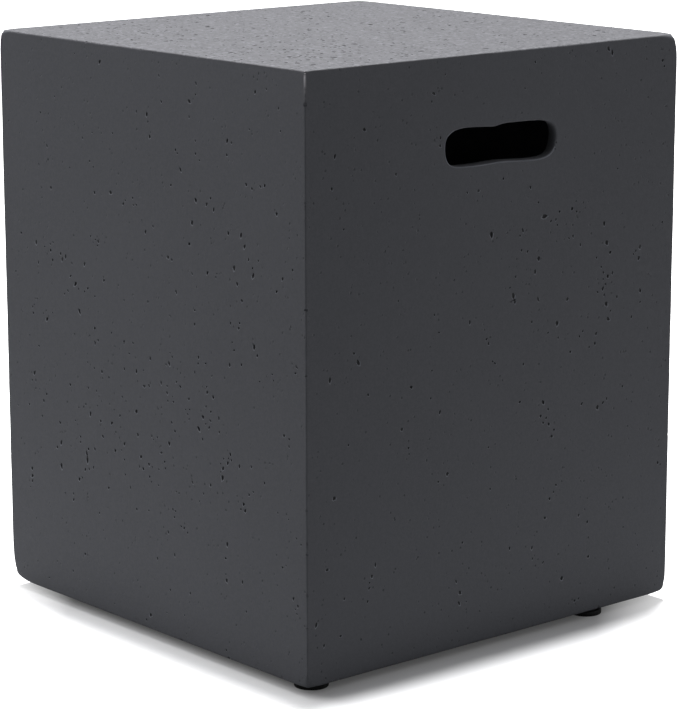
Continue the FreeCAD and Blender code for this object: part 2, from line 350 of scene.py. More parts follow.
# depth under the face, how far the slot opens there, how far more at its back end, in mm
SLOT_DEPTHS = [
    (-5, 2.6, 0), (-0.6, 2.1, 0), (-0.1, 1.7, 0), (0.1, 1.0, 0), (0.35, 0.3, 0), (0.8, -0.3, 0),
    (1.6, -0.6, 0), (3, -0.7, 0), (4.5, -0.7, 0.15), (6, -0.7, 0.4), (7.5, -0.7, 0.75), (9, -0.7, 1.2),
    (10.5, -0.6, 1.75), (12, -0.4, 2.4), (13.5, 0.2, 3.3), (15.2, 1.4, 4.5), (20, 6, 7),
]
# where the slot's back end begins and is full, along the wall in mm
SLOT_BACK_END = (44, 60)
# its lip is painted pale as a highlight below this height and before this place, down to this depth, in mm
LIT_LIP_BELOW, LIT_LIP_BEFORE, LIT_LIP_DEPTH = 424, -52, 1
# the hose notch's arch: its radius and the height where it starts, in mm
NOTCH_RADIUS, NOTCH_SPRING = 25.0, 29.0
# the heights of the points up its straight sides, in mm
NOTCH_SIDE = (-8, -2, 4, 8, 11, 15, 20, 25)
# depth under the face and how far the notch opens there, in mm
NOTCH_DEPTHS = [
    (-5, 3.2), (-0.6, 2.8), (0, 2.5), (0.5, 1.6), (1.4, 0.7), (2.8, 0.1), (6, 0), (10, 0), (20, 0),
    (30, 0), (40, 0), (47, 0), (52, 0),
]


def closed_spline(points, steps):
    """A smooth closed line through the points."""
    count = len(points)
    line = []
    for i in range(count):
        a, b, c, d = (Vector(points[(i + k) % count]) for k in (-1, 0, 1, 2))
        for s in range(steps):
            t = s / steps
            line.append(
                0.5 * (2 * b + (c - a) * t + (2 * a - 5 * b + 4 * c - d) * t * t
                       + (3 * b - a - 3 * c + d) * t * t * t)
            )
    return line


def pushed_out(line, distances):
    """A closed line moved outwards, each point by its own distance."""
    count = len(line)
    area = 0.0
    for i in range(count):
        after = line[(i + 1) % count]
        area += line[i].x * after.y - after.x * line[i].y
    side = 1 if area > 0 else -1
    moved = []
    for i in range(count):
        along = (line[(i + 1) % count] - line[i - 1]).normalized()
        moved.append(line[i] + Vector((along.y, -along.x)) * side * distances[i])
    return moved


def make_slot(side):
    """The hand slot's cutter, with the thin lip of the casting, painted pale as a highlight along its bottom
    and one end.
    """
    outline = closed_spline(SLOT_OUTLINE, 3)
    rings = []
    for depth, open_by, at_back in SLOT_DEPTHS:
        wide = []
        for p in outline:
            end = share_between(p.x, *SLOT_BACK_END)
            rag = 0.12 * wave(Vector((p.x, p.y, depth)), 9.0, 4.0 * side)
            wide.append(open_by * (1 + 0.5 * end) + at_back * end + rag)
        line = pushed_out(outline, wide)
        rings.append([Vector((side * (HALF - depth * MM), side * p.x * MM, p.y * MM)) for p in line])
    verts, faces = stack(rings, middle_of(rings[0]), middle_of(rings[-1]))
    slots = []
    for depth, _, _ in SLOT_DEPTHS[1:]:
        for p in outline:
            # the pale part of the lip is a painted highlight
            lit_side = p.y < LIT_LIP_BELOW or p.x < LIT_LIP_BEFORE
            lip = LIP_HIGHLIGHT if depth < LIT_LIP_DEPTH and lit_side else THROAT
            slots.append(SKIN if depth < 0 else lip)
    slots += [THROAT] * (len(faces) - len(slots))
    return new_object("slot", verts, faces, slots)


def make_notch():
    """The cutter of the hose notch: an arch with a rubbed lip."""
    outline = [Vector((-NOTCH_RADIUS, z)) for z in NOTCH_SIDE]
    for i in range(25):
        angle = math.pi * i / 24
        outline.append(
            Vector((-NOTCH_RADIUS * math.cos(angle), NOTCH_SPRING + NOTCH_RADIUS * math.sin(angle)))
        )
    outline += [Vector((NOTCH_RADIUS, z)) for z in reversed(NOTCH_SIDE)]
    rings = []
    for depth, open_by in NOTCH_DEPTHS:
        rags = [open_by + 0.25 * wave(Vector((p.x, p.y, depth)), 8.0, 9.0) for p in outline]
        line = pushed_out(outline, rags)
        rings.append([Vector((-p.x * MM, HALF - depth * MM, p.y * MM)) for p in line])
    return new_object("notch", *stack(rings, middle_of(rings[0]), middle_of(rings[-1])))


def make_sockets():
    """The holes that the cast-in nuts fill, a hair wider than the nuts."""
    hair, below = 0.05 * MM, 5 * MM
    verts, faces = [], []
    for foot in FEET:
        low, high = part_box(foot + "_nut")
        centre = (low + high) / 2
        reach = (high.x - low.x) / 2 + hair
        rings = [
            [p + Vector((centre.x, centre.y, 0)) for p in circle(reach, z, 6)]
            for z in (low.z - below, high.z + hair)
        ]
        ends = [Vector((centre.x, centre.y, ring[0].z)) for ring in rings]
        part_verts, part_faces = stack(rings, *ends)
        faces += [tuple(i + len(verts) for i in face) for face in part_faces]
        verts += part_verts
    return new_object("sockets", verts, faces)


# The pits and chips

# the walls and the top: outward direction, level direction, upward direction
WALLS = {
    "front": (Vector((0, -1, 0)), Vector((1, 0, 0)), Vector((0, 0, 1))),
    "right": (Vector((1, 0, 0)), Vector((0, 1, 0)), Vector((0, 0, 1))),
    "back": (Vector((0, 1, 0)), Vector((-1, 0, 0)), Vector((0, 0, 1))),
    "left": (Vector((-1, 0, 0)), Vector((0, -1, 0)), Vector((0, 0, 1))),
    "top": (Vector((0, 0, 1)), Vector((1, 0, 0)), Vector((0, 1, 0))),
}
# where the pits crowd: wall, across and up from the wall's middle in mm, spread, how many
CROWDS = [
    ("front", -70, -50, 65, 58),
    ("front", 60, -90, 60, 50),
    ("front", -120, 60, 50, 28),
    ("front", 110, 90, 60, 26),
    ("right", 120, 40, 50, 30),
    ("right", 40, 125, 40, 12),
    ("right", 60, -90, 70, 24),
    ("right", -110, -60, 60, 14),
    ("top", -60, 20, 90, 62),
    ("top", 120, -120, 60, 90),
    ("top", -120, -130, 60, 36),
    ("back", -40, 60, 90, 45),
    ("left", 60, -80, 90, 45),
]
# how many more lie anywhere, up to this far across from the middle in mm
SCATTERED = {"front": 115, "right": 48, "back": 80, "left": 80, "top": 140}
SCATTER_REACH = 200
# the pair beside the slot
SLOT_PAIR = [("right", -67, 185), ("right", -67.5, 178.6)]
# the share of pits that have others round them, and how far those lie across and up, in mm
GROUPED = 0.22
GROUP_SPREAD = (3.2, 4.2)
# the smallest and the largest radius of the pits in mm, and how much they vary; the back and
# the left wall have those of the front
PIT_RADII = {"top": (1.0, 2.6, 0.45), "right": (0.58, 1.4, 0.45), "front": (0.52, 1.2, 0.42)}
# how far apart two pits stay, as a share of their radii together
TOP_APART, WALL_APART = 1.3, 2.6
PIT_SIDES = 9
# where no pit lies, in mm: near an edge, round the slots, and round the notch
EDGE_MARGIN = 7
SLOT_CLEAR, SLOT_LEVEL, SLOT_CLEAR_HEIGHT = 70, 174, 22
NOTCH_CLEAR, NOTCH_CLEAR_BELOW = 34, -180

# chips on the edges: a point near the edge in mm from the middle, and about their radius
CHIPS = [
    ((WALL_REACH, -WALL_REACH, 249), 1.2),
    ((WALL_REACH, -WALL_REACH, 223.5), 1.9),
    ((WALL_REACH, -WALL_REACH, 62), 1.6),
    ((WALL_REACH, -WALL_REACH, -128), 1.5),
]
# how many more there are on the upright and on the level edges, how far from the edges' middle
# they lie, and how far apart they stay, in mm
UPRIGHT_CHIPS, LEVEL_CHIPS = 22, 30
UPRIGHT_REACH, LEVEL_REACH = 240, 195
CHIPS_APART = 9


def half_height(wall):
    """Half the height of a wall in mm, or half the depth of the top."""
    return (HALF if wall == "top" else HALVES.z) / MM


def in_an_opening(wall, u, v):
    """Whether a spot, in mm from the wall's middle, is too near the slot, the notch or an edge."""
    if abs(u) > HALF / MM - EDGE_MARGIN or abs(v) > half_height(wall) - EDGE_MARGIN:
        return True
    if wall in ("right", "left"):
        return abs(u) < SLOT_CLEAR and abs(v - SLOT_LEVEL) < SLOT_CLEAR_HEIGHT
    return wall == "back" and abs(u) < NOTCH_CLEAR and v < NOTCH_CLEAR_BELOW


def pit_spots():
    """Seeded places and sizes of the pits, none closer than their own widths."""
    wanted = []
    for wall, u, v, spread, count in CROWDS:
        for _ in range(count):
            wanted.append((wall, rng.gauss(u, spread), rng.gauss(v, spread)))
    for wall, count in SCATTERED.items():
        reach = half_height(wall)
        for _ in range(count):
            across = rng.uniform(-SCATTER_REACH, SCATTER_REACH)
            wanted.append((wall, across, rng.uniform(-reach, reach)))
    wanted += SLOT_PAIR
    for wall, u, v in list(wanted):
        if rng.random() < GROUPED:
            for _ in range(rng.randint(1, 4)):
                near_u, near_v = (rng.gauss(0, spread) for spread in GROUP_SPREAD)
                wanted.append((wall, u + near_u, v + near_v))
    kept = []
    for wall, u, v in wanted:
        small, large, vary = PIT_RADII.get(wall, PIT_RADII["front"])
        radius = min(large, small * math.exp(abs(rng.gauss(0, vary))))
        if in_an_opening(wall, u, v) and (wall, u, v) not in SLOT_PAIR:
            continue
        apart = TOP_APART if wall == "top" else WALL_APART
        if all(w != wall or math.hypot(u - a, v - b) > apart * (radius + r) for w, a, b, r in kept):
            kept.append((wall, u, v, radius))
    return kept


def pit_profile(wall, radius):
    """A pit's height against its width, its lean and its depth, and the shape of its rim.

    The rim and the bowl are pairs: a share of the radius, and the height over the face in mm.
    """
    if wall == "top":
        tall, lean, deep = rng.uniform(0.45, 1.0), rng.uniform(0, TURN), rng.uniform(0.6, 1.2)
        rim = [(1.3, 0.4), (1.12, 0.05), (1.06, -0.04)]
    else:
        tall, lean, deep = rng.uniform(0.9, 1.8), rng.gauss(0, 0.45), radius * rng.uniform(0.9, 1.7)
        rim = [(2.4, 0.2), (2.0, 0.04), (1.25, -min(0.22 * radius, 0.3 * deep))]
    bowl = [(1.0, -0.45 * deep), (0.78, -0.8 * deep), (0.4, -0.97 * deep)]
    return tall, lean, deep, rim + bowl


def crumbled(phase):
    """How a pit's radius varies round it."""

    def wobble(angle):
        two = 0.14 * math.sin(2 * angle + phase)
        three = 0.1 * math.sin(3 * angle + 2 * phase)
        return 1 + two + three + 0.1 * math.sin(5 * angle - phase)

    return wobble


def pit_slots(wall, tall, lean):
    """The materials of a pit's faces; on a wall, the lower side of its rim is painted pale as a highlight,
    and the bowl near black as painted shade.
    """
    slots = [SKIN] * PIT_SIDES
    for i in range(PIT_SIDES):
        angle = TURN * (i + 0.5) / PIT_SIDES
        height = math.cos(angle) * math.sin(lean) + math.sin(angle) * tall * math.cos(lean)
        slots.append(PIT_RIM_HIGHLIGHT if height < 0.15 and wall != "top" else SKIN)
    return slots + [PIT] * (5 * PIT_SIDES)


def make_pits():
    """All the pits as one cutter: small bowls with a crumbled rim."""
    verts, faces, slots = [], [], []
    for wall, u, v, radius in pit_spots():
        out, level, up = WALLS[wall]
        reach = HALVES.z if wall == "top" else HALF
        seat, _ = skin(MIDDLE + out * reach + level * u * MM + up * v * MM)
        tall, lean, deep, profile = pit_profile(wall, radius)
        wobble = crumbled(rng.uniform(0, TURN))
        rings = []
        for share, height in profile:
            ring = []
            for p in circle(radius * share, 0, PIT_SIDES, wobble):
                across = p.x * math.cos(lean) - p.y * tall * math.sin(lean)
                along = p.x * math.sin(lean) + p.y * tall * math.cos(lean)
                ring.append(seat + level * across * MM + up * along * MM + out * height * MM)
            rings.append(ring)
        part_verts, part_faces = stack(rings, seat + out * 0.6 * MM, seat - out * deep * MM)
        faces += [tuple(i + len(verts) for i in face) for face in part_faces]
        verts += part_verts
        slots += pit_slots(wall, tall, lean)
    return new_object("pits", verts, faces, slots)


def chip_spots():
    """Seeded places and sizes of the chips, the listed ones first."""
    places = list(CHIPS)
    corners = [(sx, sy) for sx in (-1, 1) for sy in (-1, 1)]
    for _ in range(UPRIGHT_CHIPS):
        sx, sy = rng.choice(corners)
        height = rng.uniform(-UPRIGHT_REACH, UPRIGHT_REACH)
        places.append(((sx * WALL_REACH, sy * WALL_REACH, height), rng.uniform(0.6, 1.3)))
    for _ in range(LEVEL_CHIPS):
        spot = [rng.choice((-1, 1)) * WALL_REACH, rng.uniform(-LEVEL_REACH, LEVEL_REACH)]
        if rng.random() < 0.5:
            spot.reverse()
        on_top = rng.random() < 0.3
        size = rng.uniform(0.5, 1.0) if on_top else rng.uniform(0.8, 2.0)
        places.append(((*spot, TOP_REACH if on_top else -TOP_REACH), size))
    kept = []
    for spot, size in places:
        if all((Vector(spot) - Vector(other)).length > CHIPS_APART for other, _ in kept):
            kept.append((spot, size))
    return kept


def make_chips():
    """Irregular lumps that take small bites out of the edges."""
    verts, faces = [], []
    for spot, size in chip_spots():
        lump = bmesh.new()
        bmesh.ops.create_icosphere(lump, subdivisions=2, radius=1.0)
        seat, out = skin(MIDDLE + Vector(spot) * MM)
        stretch = Vector((rng.uniform(0.8, 1.5), rng.uniform(0.8, 1.5), rng.uniform(0.9, 1.7)))
        seed = rng.uniform(0, 50)
        for vert in lump.verts:
            bumpy = 1 + 0.35 * wave(vert.co, 0.7, seed)
            vert.co = Vector([c * s for c, s in zip(vert.co, stretch)]) * size * bumpy * MM
            vert.co += seat + out * size * 0.45 * MM
        faces += [tuple(v.index + len(verts) for v in face.verts) for face in lump.faces]
        verts += [v.co.copy() for v in lump.verts]
        lump.free()
    return new_object("chips", verts, faces)


def make_shell(materials):
    """The casting: the rubbed block less its hollow, openings, sockets, chips and pits."""
    shell = make_block()
    for material in materials:
        shell.data.materials.append(material)
    for tool in (
        fix_outward(make_hollow()),
        fix_outward(make_slot(1)),
        fix_outward(make_slot(-1)),
        fix_outward(make_notch()),
        fix_outward(make_sockets()),
        fix_outward(make_chips()),
        fix_outward(make_pits()),
    ):
        for material in materials:
            tool.data.materials.append(material)
        combine(shell, tool, "DIFFERENCE")
    shell.name = "cast_shell"
    shell.data.name = "cast_shell"
    return shell


# The feet

# the hexagon collar's lower and upper face, and its chamfer across and up
COLLAR_LOW, COLLAR_HIGH = 5.2 * MM, 8.0 * MM
COLLAR_CHAMFER = (0.75 * MM, 0.45 * MM)
NECK_RADIUS = 3.7 * MM
HEAD_RADIUS, HEAD_THICKNESS = 5.45 * MM, 1.8 * MM
THREAD_RADIUS, THREAD_DEPTH, THREAD_PITCH = 3.97 * MM, 0.66 * MM, 1.25 * MM
# the shares of half a pitch that the thread's crest and its flank take
CREST, FLANK = 0.12, 0.72
STUD_SIDES = 28
# the pad's section in mm: radius, height, how far the grip scallops reach there
PAD_PROFILE = [
    (3.0, 0.35, 0), (5.6, 0.35, 0), (6.0, 0.0, 0), (8.0, 0.0, 0), (8.4, 0.5, 0), (9.8, 0.5, 0),
    (10.2, 0.0, 0), (13.4, 0.0, 0), (14.05, 0.2, 0.3), (14.35, 0.65, 1), (14.38, 2.0, 1),
    (14.38, 3.6, 1), (14.2, 4.25, 0.8), (13.7, 4.75, 0.4), (12.9, 5.0, 0), (9.4, 5.0, 0),
    (9.0, 4.7, 0), (7.9, 4.7, 0), (7.5, 5.0, 0), (4.5, 5.0, 0), (4.15, 4.8, 0), (4.06, 4.4, 0),
    (4.06, 3.62, 0), (5.56, 3.62, 0), (5.56, 1.6, 0), (3.0, 1.6, 0),
]
PAD_SIDES = 96
SCALLOPS, SCALLOP_DEPTH = 24, 0.28


def thread(start, end):
    """The rings of a right-hand thread round the Z axis, running out at both ends."""
    rings = []
    steps = round((end - start) / THREAD_PITCH * 8)
    for row in range(steps + 1):
        z = start + (end - start) * row / steps
        run_out = min(1.0, (end - z) / (0.8 * THREAD_PITCH), (z - start) / (0.5 * THREAD_PITCH))
        tip = 0.5 * THREAD_DEPTH * max(0.0, 1 - (end - z) / (0.7 * THREAD_PITCH))
        ring = []
        for i in range(STUD_SIDES):
            turn = i / STUD_SIDES
            phase = (z / THREAD_PITCH - turn) % 1.0
            cut = share_between(abs(phase - 0.5) * 2, CREST, CREST + FLANK)
            r = THREAD_RADIUS - THREAD_DEPTH * cut * run_out - tip
            ring.append(Vector((r * math.cos(TURN * turn), r * math.sin(TURN * turn), z)))
        rings.append(ring)
    return rings


def make_collar(flats):
    """The hexagon collar, its corners turned off below and above."""
    sixth = math.pi / 3
    across, up = COLLAR_CHAMFER
    corner = flats / math.cos(sixth / 2)
    rings = []
    for z, cone in (
        (COLLAR_LOW, corner - across),
        (COLLAR_LOW + up, corner),
        (COLLAR_HIGH - up, corner),
        (COLLAR_HIGH, corner - across),
    ):
        ring = []
        for i in range(48):
            angle = TURN * i / 48
            side = (angle + sixth / 2) % sixth - sixth / 2
            r = min(flats / math.cos(side), cone)
            turned = angle + sixth / 2
            ring.append(Vector((r * math.cos(turned), r * math.sin(turned), z)))
        rings.append(ring)
    ends = (Vector((0, 0, COLLAR_LOW)), Vector((0, 0, COLLAR_HIGH)))
    return fix_outward(new_object("collar", *stack(rings, *ends)))


def make_stud(foot):
    """The levelling screw: flat head, neck, chamfered hexagon collar and a real thread."""
    low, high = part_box(foot + "_stud")
    centre = (low + high) / 2
    head_top = low.z + HEAD_THICKNESS
    below = [
        (HEAD_RADIUS - 0.25 * MM, low.z),
        (HEAD_RADIUS, low.z + 0.25 * MM),
        (HEAD_RADIUS, head_top - 0.3 * MM),
        (HEAD_RADIUS - 0.3 * MM, head_top),
        (NECK_RADIUS + 0.2 * MM, head_top),
        (NECK_RADIUS, head_top + 0.3 * MM),
        (NECK_RADIUS, COLLAR_HIGH),
    ]
    rings = [circle(r, z, STUD_SIDES) for r, z in below] + thread(COLLAR_HIGH + 0.3 * MM, high.z)
    stud = new_object("stud_" + foot, *stack(rings, Vector((0, 0, low.z)), Vector((0, 0, high.z))))
    fix_outward(stud)
    flats = (high.x - low.x) / 2 * math.sqrt(3) / 2
    combine(stud, make_collar(flats), "UNION")
    stud.data.transform(Matrix.Translation((centre.x, centre.y, 0)))
    stud.data.name = stud.name
    smooth(stud, 32)
    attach(stud, "stud_" + foot)
    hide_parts(foot + "_stud")
    return stud


def make_pad(foot):
    """The moulded disc: rounded rim with grip scallops, socket for the screw's head, ringed sole."""
    low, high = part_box(foot + "_pad")
    centre = (low + high) / 2
    rim = (high.x - low.x) / 2
    rings = []
    for r, z, grip in PAD_PROFILE:
        ring = []
        for i in range(PAD_SIDES):
            angle = TURN * i / PAD_SIDES
            dip = SCALLOP_DEPTH * grip * max(0.0, math.cos(SCALLOPS * angle)) ** 2
            reach = min(rim, (r - dip) * MM)
            ring.append(Vector((reach * math.cos(angle), reach * math.sin(angle), min(high.z, z * MM))))
        rings.append(ring)
    ends = [Vector((0, 0, z * MM)) for _, z, _ in (PAD_PROFILE[0], PAD_PROFILE[-1])]
    pad = fix_outward(new_object("pad_" + foot, *stack(rings, *ends)))
    pad.data.transform(Matrix.Translation((centre.x, centre.y, 0)))
    smooth(pad, 38)
    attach(pad, "pad_" + foot)
    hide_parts(foot + "_pad")
    return pad


# Materials


class Nodes:
    """Short calls that add and wire the nodes of one material."""

    def __init__(self, name):
        self.material = bpy.data.materials.new(name)
        self.material.use_nodes = True
        self.tree = self.material.node_tree
        self.shader = self.tree.nodes["Principled BSDF"]
        self.place = self.tree.nodes.new("ShaderNodeTexCoord").outputs["Object"]

    def add(self, kind, inputs, **settings):
        node = self.tree.nodes.new("ShaderNode" + kind)
        for name, setting in settings.items():
            setattr(node, name, setting)
        for name, wanted in inputs.items():
            socket = node.inputs[name]
            if isinstance(wanted, bpy.types.NodeSocket):
                self.tree.links.new(wanted, socket)
            else:
                socket.default_value = wanted
        return node

    def split(self):
        """The X, Y and Z of the place on the object."""
        return self.add("SeparateXYZ", {"Vector": self.place}).outputs

    def noise(self, length, detail=2.0, roughness=0.5):
        """Noise whose lumps are about this long, in metres."""
        inputs = {"Vector": self.place, "Scale": 1 / length, "Detail": detail, "Roughness": roughness}
        return self.add("TexNoise", inputs).outputs["Fac"]

    def pores(self, spacing, size, lower=0.0):
        """1 in the middle of scattered round pores, 0 outside them; all may lie a little lower."""
        shifted = self.add("VectorMath", {0: self.place, 1: (0, 0, lower)}, operation="ADD").outputs[0]
        cell = self.add("TexVoronoi", {"Vector": shifted, "Scale": 1 / spacing, "Randomness": 1.0})
        return self.ramp(cell.outputs["Distance"], 0.5 * size, size, 1.0, 0.0)

    def ramp(self, value, low, high, to_low, to_high):
        ends = {"From Min": low, "From Max": high, "To Min": to_low, "To Max": to_high}
        return self.add("MapRange", {"Value": value, **ends}, clamp=True).outputs[0]

    def math(self, operation, a, b=0.0):
        return self.add("Math", {0: a, 1: b}, operation=operation).outputs[0]

    def product(self, *values):
        result = values[0]
        for value in values[1:]:
            result = self.math("MULTIPLY", result, value)
        return result

    def blend(self, share, a, b):
        """The colour a, and the colour b as far as the share goes."""
        inputs = {"Factor": share, 6: a, 7: b}
        return self.add("Mix", inputs, data_type="RGBA", blend_type="MIX").outputs[2]

    def link(self, socket, name):
        self.tree.links.new(socket, self.shader.inputs[name])

    def bump(self, height, distance, under=None):
        inputs = {"Height": height, "Distance": distance, "Strength": 1.0}
        if under is not None:
            inputs["Normal"] = under
        return self.add("Bump", inputs).outputs[0]


def grey(level, warm=0.0):
    """A near-neutral colour, slightly blue unless it is warmed."""
    return (level * (0.965 + warm), level, level * (1.13 - warm), 1.0)


def edge_closeness(nodes):
    """Two values that are 0 on the flats and 1 on an edge: of all edges, and of the upright ones."""
    place = nodes.split()
    gaps = [nodes.math("SUBTRACT", HALF, nodes.math("ABSOLUTE", place[axis])) for axis in "XY"]
    below_top = nodes.math("SUBTRACT", TOP, place["Z"])
    low = nodes.math("MINIMUM", *gaps)
    high = nodes.math("MAXIMUM", *gaps)
    second = nodes.math("MINIMUM", high, nodes.math("MAXIMUM", low, below_top))
    return [nodes.ramp(gap, 0.2 * MM, 2.0 * MM, 1.0, 0.0) for gap in (second, high)]


def cement_tone(nodes, level, spread):
    """Faint clouds, fainter small ones and fine sand."""
    pale = grey(level * (1 + spread))
    clouds = nodes.ramp(nodes.noise(0.16, 3.0, 0.55), 0.3, 0.7, 0.0, 1.0)
    tone = nodes.blend(clouds, grey(level * (1 - spread)), pale)
    tone = nodes.blend(nodes.ramp(nodes.noise(0.007, 4.0, 0.65), 0.4, 0.7, 0.0, 0.4), tone, pale)
    sand = nodes.ramp(nodes.noise(0.0022, 3.0, 0.7), 0.32, 0.68, 0.0, 0.5)
    return nodes.blend(sand, tone, grey(level * 1.32))


def top_tone(nodes, tone, level, top):
    """The top was the mould's open side: cloudier and coarser, with dark specks and pale ones."""
    clouds = nodes.ramp(nodes.noise(0.03, 3.0, 0.6), 0.35, 0.65, 0.0, 1.0)
    cloudy = nodes.blend(clouds, grey(level * 1.03, 0.035), grey(level * 1.19, 0.035))
    tone = nodes.blend(top, tone, cloudy)
    coarse = nodes.ramp(nodes.noise(0.0042, 3.0, 0.75), 0.50, 0.62, 0.0, 0.7)
    tone = nodes.blend(nodes.product(top, coarse), tone, grey(level * 0.76, 0.03))
    pale = nodes.ramp(nodes.noise(0.0048, 2.0, 0.6), 0.58, 0.61, 0.0, 0.9)
    return nodes.blend(nodes.product(top, pale), tone, grey(level * 1.72, 0.03))


def pored_tone(nodes, tone, level, top):
    """Shallow pores darkened with painted shade and with a painted highlight on the lower rim, in patches
    and all over the top; and where they are.
    """
    spacing, size, rim_lower = 0.0056, 0.23, 1.2 * MM
    patches = nodes.ramp(nodes.noise(0.014, 2.0), 0.52, 0.60, 0.0, 1.0)
    crowd = nodes.math("MAXIMUM", patches, nodes.product(top, 1.3))
    holes = nodes.product(nodes.pores(spacing, size), crowd)
    highlit_rims = nodes.product(nodes.pores(spacing, size, rim_lower), crowd)
    # the pale lower rims of the pores are a painted highlight
    tone = nodes.blend(nodes.product(highlit_rims, 0.3), tone, grey(level * 1.6))
    # the dark pores are painted shade
    return nodes.blend(nodes.product(holes, 0.7), tone, grey(level * 0.35)), holes


def edges_and_highlight_tone(nodes, tone, level, dark):
    """The edges made darker, and a painted highlight on the front edge just under the top."""
    near_edge, near_upright = edge_closeness(nodes)
    patchy = nodes.ramp(nodes.noise(0.012, 3.0), 0.3, 0.65, 0.35, 1.0)
    tone = nodes.blend(nodes.product(near_edge, patchy, dark), tone, grey(level * 0.4))
    place = nodes.split()
    high = nodes.math("POWER", nodes.ramp(place["Z"], TOP - 30 * MM, TOP - 4 * MM, 0.0, 1.0), 2.2)
    ragged = nodes.ramp(nodes.noise(0.006, 3.0), 0.38, 0.56, 0.25, 1.0)
    forward = nodes.math("SUBTRACT", place["X"], place["Y"])
    near_front = nodes.ramp(forward, 2 * HALF - 40 * MM, 2 * HALF - 20 * MM, 0, 1)
    # a painted highlight on the upright front edge near the top
    painted_highlight = nodes.product(near_upright, near_front, high, ragged)
    return nodes.blend(painted_highlight, tone, grey(level * 12, 0.07))


def casting_material(name, level, spread, edge_dark, rough_bump, painted_shade_depth=0.0):
    """Charcoal cement: faint clouds, fine sand, shallow pores with painted shade and a painted highlight on
    their lower rims, edges made darker, and a painted highlight on the front edge.

    Given that depth, painted shade darkens it under the slotted walls, to black at that depth.
    """
    nodes = Nodes(name)
    top = nodes.ramp(nodes.split()["Z"], TOP - 1.6 * MM, TOP - 0.5 * MM, 0.0, 1.0)
    tone = top_tone(nodes, cement_tone(nodes, level, spread), level, top)
    tone, holes = pored_tone(nodes, tone, level, top)
    if edge_dark:
        tone = edges_and_highlight_tone(nodes, tone, level, edge_dark)
    if painted_shade_depth:
        # painted shade inside the slot, deepening to black
        depth = nodes.math("SUBTRACT", HALF, nodes.math("ABSOLUTE", nodes.split()["X"]))
        tone = nodes.blend(nodes.ramp(depth, 1.0 * MM, painted_shade_depth, 0.0, 1.0), tone, grey(level * 0.05))
    nodes.link(tone, "Base Color")
    nodes.link(nodes.ramp(nodes.noise(0.005, 3.0), 0.3, 0.7, 0.68, 0.76), "Roughness")
    nodes.shader.inputs["Specular IOR Level"].default_value = 0.25
    surface = nodes.bump(nodes.noise(0.004, 4.0, 0.62), 0.00012 * rough_bump)
    surface = nodes.bump(nodes.noise(0.0011, 2.0, 0.6), 0.00008 * rough_bump, surface)
    surface = nodes.bump(nodes.math("SUBTRACT", 1.0, holes), 0.0005, surface)
    nodes.link(surface, "Normal")
    return nodes.material


def inside_material():
    """The unseen side of the casting: lighter, hand-pressed over a glass mesh."""
    nodes = Nodes("cement_inside")
    strand_pitch = 0.005
    clouds = nodes.ramp(nodes.noise(0.05, 4.0, 0.6), 0.3, 0.7, 0.0, 1.0)
    tone = nodes.blend(clouds, grey(0.15, 0.02), grey(0.24, 0.02))
    tone = nodes.blend(nodes.ramp(nodes.noise(0.0016, 2.0), 0.4, 0.7, 0.0, 0.4), tone, grey(0.32, 0.02))
    nodes.link(tone, "Base Color")
    nodes.shader.inputs["Roughness"].default_value = 0.85
    nodes.shader.inputs["Specular IOR Level"].default_value = 0.3
    place = nodes.split()
    strands = []
    for axis in "XYZ":
        ripple = nodes.math("COSINE", nodes.product(place[axis], TURN / strand_pitch))
        strands.append(nodes.math("POWER", nodes.math("ABSOLUTE", ripple), 6.0))
    mesh = nodes.math("MAXIMUM", nodes.math("MAXIMUM", strands[0], strands[1]), strands[2])
    shows = nodes.ramp(nodes.noise(0.07, 2.0), 0.48, 0.62, 0.0, 1.0)
    surface = nodes.bump(nodes.noise(0.009, 5.0, 0.65), 0.0011)
    surface = nodes.bump(nodes.product(mesh, shows), 0.00025, surface)
    nodes.link(surface, "Normal")
    return nodes.material


def steel_material():
    """Dull zinc plating with a faint spangle."""
    nodes = Nodes("zinc_steel")
    tone = nodes.blend(nodes.noise(0.004, 3.0), (0.46, 0.46, 0.44, 1), (0.66, 0.66, 0.63, 1))
    nodes.link(tone, "Base Color")
    nodes.shader.inputs["Metallic"].default_value = 1.0
    nodes.link(nodes.ramp(nodes.noise(0.0025, 3.0), 0.3, 0.7, 0.28, 0.5), "Roughness")
    nodes.link(nodes.bump(nodes.noise(0.0007, 2.0), 0.00003), "Normal")
    return nodes.material


def nylon_material():
    """Black moulded nylon, lightly scuffed."""
    nodes = Nodes("black_nylon")
    scuffs = nodes.ramp(nodes.noise(0.003, 3.0), 0.45, 0.75, 0.0, 0.5)
    tone = nodes.blend(scuffs, (0.004, 0.004, 0.0045, 1), (0.014, 0.0135, 0.013, 1))
    nodes.link(tone, "Base Color")
    nodes.link(nodes.ramp(nodes.noise(0.005, 3.0), 0.3, 0.7, 0.5, 0.7), "Roughness")
    nodes.shader.inputs["Specular IOR Level"].default_value = 0.12
    nodes.link(nodes.bump(nodes.noise(0.0006, 2.0), 0.00004), "Normal")
    return nodes.material


# Putting the object together

CEMENT = 0.067
shell_materials = [
    casting_material("cement_skin", CEMENT, 0.05, 0.5, 1.0),
    # pale lower pit rims: a painted highlight
    casting_material("cement_pit_rim_highlight", 0.135, 0.10, 0.0, 1.2),
    # near-black pit bowls: painted shade
    casting_material("cement_pit", 0.012, 0.15, 0.0, 1.6),
    inside_material(),
    # the pale slot lip: a painted highlight
    casting_material("cement_lip_highlight", 0.16, 0.10, 0.0, 1.2),
    # the slot's throat: painted shade, black at depth
    casting_material("cement_throat_shade", CEMENT, 0.10, 0.0, 1.4, 13 * MM),
]
shell = make_shell(shell_materials)
smooth(shell, 30)
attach(shell, "cover")
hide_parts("shell")

